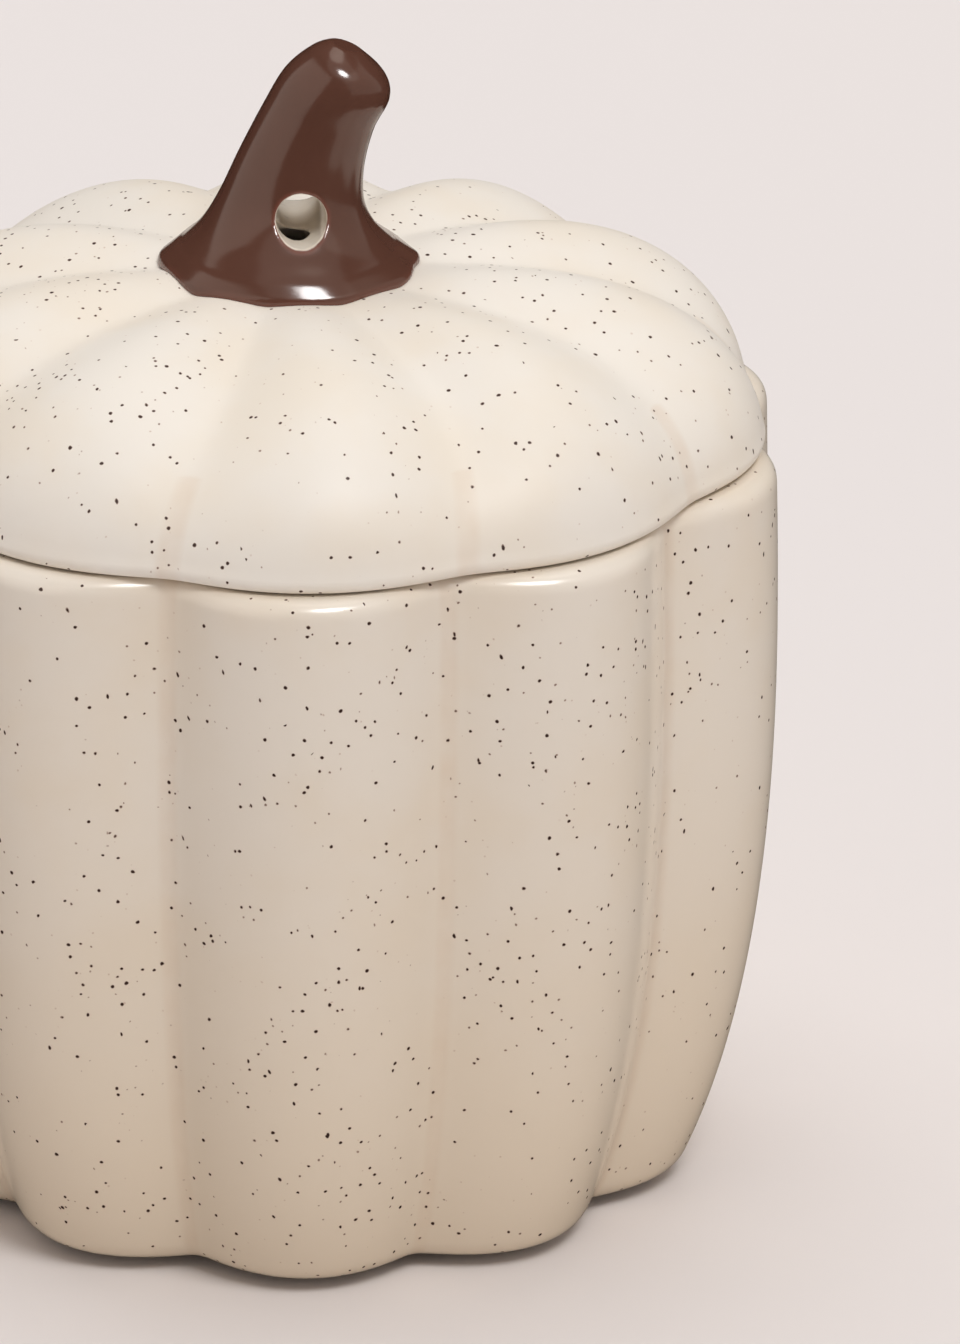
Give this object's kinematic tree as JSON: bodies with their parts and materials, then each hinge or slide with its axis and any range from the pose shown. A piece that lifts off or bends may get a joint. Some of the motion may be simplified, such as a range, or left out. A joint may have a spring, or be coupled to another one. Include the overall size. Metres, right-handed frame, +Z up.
{
  "type": "lidded pumpkin jar",
  "caption": "Tall lobed ceramic pumpkin jar: hollow pot, lift-off domed lid with locating flange, hollow pierced stem handle and protective foot pads.",
  "frame": {"origin": "centre of the jar, on the surface that it stands on", "axes": "+Z up along the jar's axis, -Y towards the front, where the stem's vent hole faces, +X towards the side that the stem leans to"},
  "size_m": [0.1402, 0.145, 0.1738],
  "materials": {
    "pot_glaze": "glossy speckled cream glaze",
    "lid_glaze": "glossy speckled cream glaze",
    "stem_glaze": "glossy chocolate brown glaze, cream inside",
    "pad_rubber": "matt soft rubber"
  },
  "bodies": {
    "pot": {"pot": "pot_glaze", "foot_pad_1": "pad_rubber", "foot_pad_2": "pad_rubber", "foot_pad_3": "pad_rubber", "foot_pad_4": "pad_rubber"},
    "lid": {"lid": "lid_glaze", "stem": "stem_glaze"}
  },
  "joints": [
    {"name": "lid_lift", "type": "slide", "parent": "pot", "child": "lid", "axis": [0, 0, 1], "range_m": [0, 0.06]}
  ]
}
